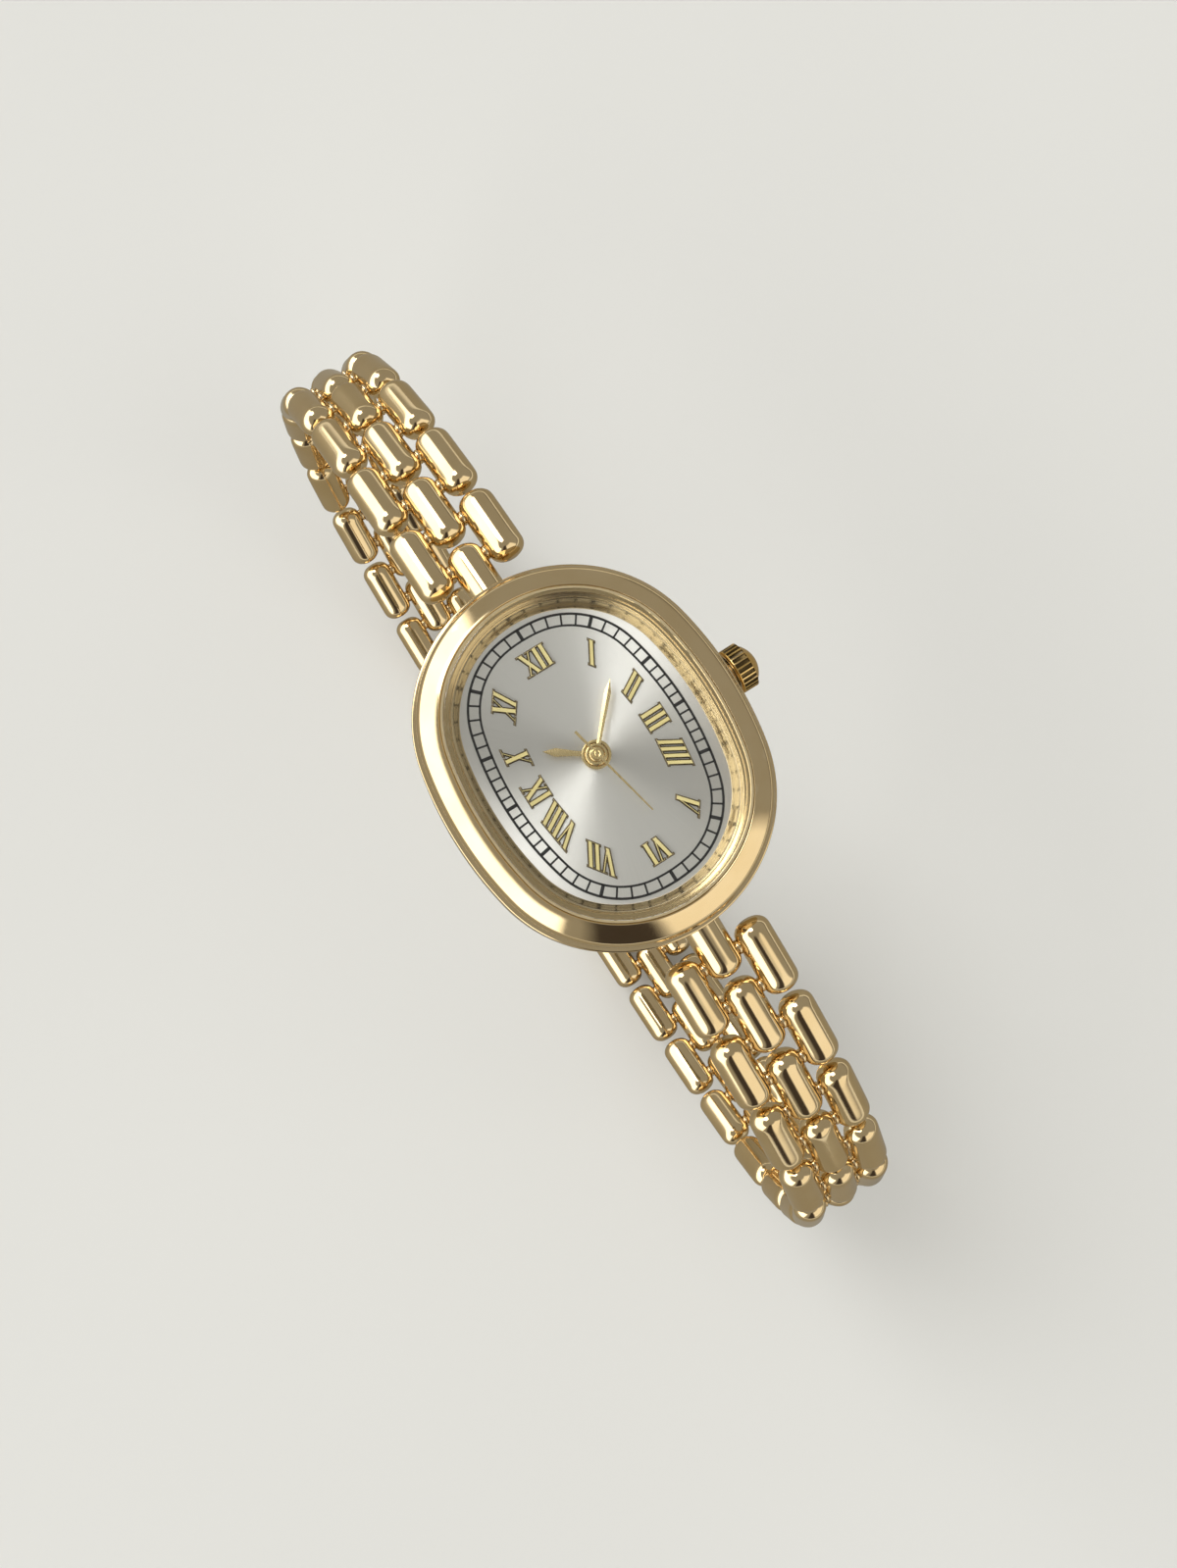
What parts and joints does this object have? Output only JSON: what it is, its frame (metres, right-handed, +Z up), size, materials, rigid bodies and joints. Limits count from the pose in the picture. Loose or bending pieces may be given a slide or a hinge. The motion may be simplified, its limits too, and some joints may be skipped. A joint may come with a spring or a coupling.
{
  "type": "oval bracelet wristwatch",
  "caption": "Small oval quartz watch on a closed bracelet of staggered pillow links, with a domed bezel, roman dial, leaf hands and fluted crown.",
  "frame": {"origin": "on the flat outer face of the clasp, under the middle of the dial; the closed watch stands on that face", "axes": "+Z up, square to the dial and out of it; +Y to 12 o'clock; +X to 3 o'clock, where the crown is"},
  "size_m": [0.0223, 0.0724, 0.0454],
  "materials": {
    "gold_case": "pale gold plating, mirror polished",
    "gold_links": "pale gold plating, polished, lightly worn",
    "gold_trim": "polished gold plating",
    "steel_back": "brushed stainless steel",
    "crystal_glass": "clear polished mineral glass",
    "white_gasket": "matte nylon",
    "black_gasket": "matte",
    "silver_dial": "silvered sunray brushing under clear lacquer",
    "movement_brass": "fine matte",
    "movement_steel": "fine brushed",
    "wheel_brass": "satin",
    "white_holder": "moulded",
    "green_board": "solder resist",
    "battery_steel": "bright nickel plating",
    "copper_wire": "enamelled copper winding",
    "magnet_steel": "nickel plated"
  },
  "bodies": {
    "head": {"case_middle": "gold_case", "bezel": "gold_case", "crystal": "crystal_glass", "crystal_gasket": "white_gasket", "case_back": "steel_back", "back_gasket": "black_gasket", "dial": "silver_dial", "hour_numerals": "gold_trim", "movement_plate": "movement_brass", "movement_holder": "white_holder", "train_bridge": "movement_steel", "circuit_board": "green_board", "battery": "battery_steel", "battery_clamp": "movement_steel", "coil": "copper_wire", "stator": "movement_steel", "crown_tube": "movement_brass"},
    "upper_row_01": {"upper_link_row_01": "gold_links"},
    "upper_row_02": {"upper_link_row_02": "gold_links"},
    "upper_row_03": {"upper_link_row_03": "gold_links"},
    "upper_row_04": {"upper_link_row_04": "gold_links"},
    "upper_row_05": {"upper_link_row_05": "gold_links"},
    "upper_row_06": {"upper_link_row_06": "gold_links"},
    "upper_row_07": {"upper_link_row_07": "gold_links"},
    "upper_row_08": {"upper_link_row_08": "gold_links"},
    "upper_row_09": {"upper_link_row_09": "gold_links"},
    "upper_row_10": {"upper_link_row_10": "gold_links"},
    "upper_row_11": {"upper_link_row_11": "gold_links"},
    "upper_row_12": {"upper_link_row_12": "gold_links"},
    "upper_clasp": {"upper_clasp_half": "gold_links", "upper_clasp_magnets": "magnet_steel"},
    "lower_row_01": {"lower_link_row_01": "gold_links"},
    "lower_row_02": {"lower_link_row_02": "gold_links"},
    "lower_row_03": {"lower_link_row_03": "gold_links"},
    "lower_row_04": {"lower_link_row_04": "gold_links"},
    "lower_row_05": {"lower_link_row_05": "gold_links"},
    "lower_row_06": {"lower_link_row_06": "gold_links"},
    "lower_row_07": {"lower_link_row_07": "gold_links"},
    "lower_row_08": {"lower_link_row_08": "gold_links"},
    "lower_row_09": {"lower_link_row_09": "gold_links"},
    "lower_row_10": {"lower_link_row_10": "gold_links"},
    "lower_row_11": {"lower_link_row_11": "gold_links"},
    "lower_row_12": {"lower_link_row_12": "gold_links"},
    "lower_clasp": {"lower_clasp_half": "gold_links", "lower_clasp_magnets": "magnet_steel"},
    "second_hand_group": {"second_wheel": "wheel_brass", "second_hand": "gold_trim"},
    "fifth_wheel_group": {"fifth_wheel": "wheel_brass"},
    "rotor_group": {"rotor": "wheel_brass"},
    "third_wheel_group": {"third_wheel": "wheel_brass"},
    "centre_wheel_group": {"centre_wheel": "wheel_brass"},
    "minute_hand_group": {"cannon_pinion": "wheel_brass", "minute_hand": "gold_trim"},
    "minute_wheel_group": {"minute_wheel": "wheel_brass"},
    "hour_hand_group": {"hour_wheel": "wheel_brass", "hour_hand": "gold_trim"},
    "clutch": {"clutch_wheel": "movement_steel"},
    "crown": {"crown": "gold_case", "crown_gasket": "black_gasket", "setting_stem": "movement_steel"}
  },
  "joints": [
    {"name": "upper_hinge_01", "type": "hinge", "parent": "head", "child": "upper_row_01", "pos_m": [0, 0.0148, 0.04195], "axis": [1, 0, 0], "range_deg": [0, 5.37]},
    {"name": "upper_hinge_02", "type": "hinge", "parent": "upper_row_01", "child": "upper_row_02", "pos_m": [0, 0.02033, 0.04063], "axis": [1, 0, 0], "range_deg": [0, 9.72]},
    {"name": "upper_hinge_03", "type": "hinge", "parent": "upper_row_02", "child": "upper_row_03", "pos_m": [0, 0.02559, 0.03846], "axis": [1, 0, 0], "range_deg": [0, 14.25]},
    {"name": "upper_hinge_04", "type": "hinge", "parent": "upper_row_03", "child": "upper_row_04", "pos_m": [0, 0.03022, 0.03517], "axis": [1, 0, 0], "range_deg": [0, 19.98]},
    {"name": "upper_hinge_05", "type": "hinge", "parent": "upper_row_04", "child": "upper_row_05", "pos_m": [0, 0.03356, 0.03058], "axis": [1, 0, 0], "range_deg": [0, 21.04]},
    {"name": "upper_hinge_06", "type": "hinge", "parent": "upper_row_05", "child": "upper_row_06", "pos_m": [0, 0.035, 0.0251], "axis": [1, 0, 0], "range_deg": [0, 11.24]},
    {"name": "upper_hinge_07", "type": "hinge", "parent": "upper_row_06", "child": "upper_row_07", "pos_m": [0, 0.03503, 0.01941], "axis": [1, 0, 0], "range_deg": [0, 16.41]},
    {"name": "upper_hinge_08", "type": "hinge", "parent": "upper_row_07", "child": "upper_row_08", "pos_m": [0, 0.03374, 0.01388], "axis": [1, 0, 0], "range_deg": [0, 21.76]},
    {"name": "upper_hinge_09", "type": "hinge", "parent": "upper_row_08", "child": "upper_row_09", "pos_m": [0, 0.03055, 0.0092], "axis": [1, 0, 0], "range_deg": [0, 17.64]},
    {"name": "upper_hinge_10", "type": "hinge", "parent": "upper_row_09", "child": "upper_row_10", "pos_m": [0, 0.02599, 0.00581], "axis": [1, 0, 0], "range_deg": [0, 12.11]},
    {"name": "upper_hinge_11", "type": "hinge", "parent": "upper_row_10", "child": "upper_row_11", "pos_m": [0, 0.02076, 0.00356], "axis": [1, 0, 0], "range_deg": [0, 8.36]},
    {"name": "upper_hinge_12", "type": "hinge", "parent": "upper_row_11", "child": "upper_row_12", "pos_m": [0, 0.01524, 0.00218], "axis": [1, 0, 0], "range_deg": [0, 5.96]},
    {"name": "upper_clasp_hinge", "type": "hinge", "parent": "upper_row_12", "child": "upper_clasp", "pos_m": [0, 0.0096, 0.00143], "axis": [1, 0, 0], "range_deg": [0, 6.2]},
    {"name": "lower_hinge_01", "type": "hinge", "parent": "head", "child": "lower_row_01", "pos_m": [0, -0.0148, 0.04195], "axis": [-1, 0, 0], "range_deg": [0, 5.37]},
    {"name": "lower_hinge_02", "type": "hinge", "parent": "lower_row_01", "child": "lower_row_02", "pos_m": [0, -0.02033, 0.04063], "axis": [-1, 0, 0], "range_deg": [0, 9.72]},
    {"name": "lower_hinge_03", "type": "hinge", "parent": "lower_row_02", "child": "lower_row_03", "pos_m": [0, -0.02559, 0.03846], "axis": [-1, 0, 0], "range_deg": [0, 14.25]},
    {"name": "lower_hinge_04", "type": "hinge", "parent": "lower_row_03", "child": "lower_row_04", "pos_m": [0, -0.03022, 0.03517], "axis": [-1, 0, 0], "range_deg": [0, 19.98]},
    {"name": "lower_hinge_05", "type": "hinge", "parent": "lower_row_04", "child": "lower_row_05", "pos_m": [0, -0.03356, 0.03058], "axis": [-1, 0, 0], "range_deg": [0, 21.04]},
    {"name": "lower_hinge_06", "type": "hinge", "parent": "lower_row_05", "child": "lower_row_06", "pos_m": [0, -0.035, 0.0251], "axis": [-1, 0, 0], "range_deg": [0, 11.24]},
    {"name": "lower_hinge_07", "type": "hinge", "parent": "lower_row_06", "child": "lower_row_07", "pos_m": [0, -0.03503, 0.01941], "axis": [-1, 0, 0], "range_deg": [0, 16.41]},
    {"name": "lower_hinge_08", "type": "hinge", "parent": "lower_row_07", "child": "lower_row_08", "pos_m": [0, -0.03374, 0.01388], "axis": [-1, 0, 0], "range_deg": [0, 21.76]},
    {"name": "lower_hinge_09", "type": "hinge", "parent": "lower_row_08", "child": "lower_row_09", "pos_m": [0, -0.03055, 0.0092], "axis": [-1, 0, 0], "range_deg": [0, 17.64]},
    {"name": "lower_hinge_10", "type": "hinge", "parent": "lower_row_09", "child": "lower_row_10", "pos_m": [0, -0.02599, 0.00581], "axis": [-1, 0, 0], "range_deg": [0, 12.11]},
    {"name": "lower_hinge_11", "type": "hinge", "parent": "lower_row_10", "child": "lower_row_11", "pos_m": [0, -0.02076, 0.00356], "axis": [-1, 0, 0], "range_deg": [0, 8.36]},
    {"name": "lower_hinge_12", "type": "hinge", "parent": "lower_row_11", "child": "lower_row_12", "pos_m": [0, -0.01524, 0.00218], "axis": [-1, 0, 0], "range_deg": [0, 5.96]},
    {"name": "lower_clasp_hinge", "type": "hinge", "parent": "lower_row_12", "child": "lower_clasp", "pos_m": [0, -0.0096, 0.00143], "axis": [-1, 0, 0], "range_deg": [0, 6.2]},
    {"name": "second_hand_turn", "type": "hinge", "parent": "head", "child": "second_hand_group", "pos_m": [0, 0, 0.04332], "axis": [0, 0, -1], "continuous": true},
    {"name": "fifth_wheel_turn", "type": "hinge", "parent": "head", "child": "fifth_wheel_group", "pos_m": [0.00046, 0.00173, 0.04332], "axis": [0, 0, -1], "continuous": true},
    {"name": "rotor_turn", "type": "hinge", "parent": "head", "child": "rotor_group", "pos_m": [0.00071, 0.0031, 0.04332], "axis": [0, 0, -1], "continuous": true},
    {"name": "third_wheel_turn", "type": "hinge", "parent": "head", "child": "third_wheel_group", "pos_m": [-0.00177, 0, 0.04332], "axis": [0, 0, -1], "continuous": true},
    {"name": "centre_wheel_turn", "type": "hinge", "parent": "head", "child": "centre_wheel_group", "pos_m": [0, 0, 0.04332], "axis": [0, 0, -1], "continuous": true},
    {"name": "minute_hand_turn", "type": "hinge", "parent": "head", "child": "minute_hand_group", "pos_m": [0, 0, 0.04332], "axis": [0, 0, -1], "continuous": true},
    {"name": "minute_wheel_turn", "type": "hinge", "parent": "head", "child": "minute_wheel_group", "pos_m": [0.002, 0, 0.04332], "axis": [0, 0, -1], "continuous": true},
    {"name": "hour_hand_turn", "type": "hinge", "parent": "head", "child": "hour_hand_group", "pos_m": [0, 0, 0.04332], "axis": [0, 0, -1], "continuous": true},
    {"name": "crown_turn", "type": "hinge", "parent": "head", "child": "clutch", "pos_m": [0, 0, 0.04182], "axis": [1, 0, 0], "continuous": true},
    {"name": "crown_pull", "type": "slide", "parent": "clutch", "child": "crown", "axis": [1, 0, 0], "range_m": [0, 0.0009]}
  ],
  "couplings": [
    {"joint": "fifth_wheel_turn", "follows": "second_hand_turn", "ratio": -6},
    {"joint": "rotor_turn", "follows": "second_hand_turn", "ratio": 30},
    {"joint": "third_wheel_turn", "follows": "second_hand_turn", "ratio": -0.13333},
    {"joint": "centre_wheel_turn", "follows": "second_hand_turn", "ratio": 0.016667},
    {"joint": "minute_wheel_turn", "follows": "minute_hand_turn", "ratio": -0.33333},
    {"joint": "hour_hand_turn", "follows": "minute_hand_turn", "ratio": 0.083333}
  ]
}
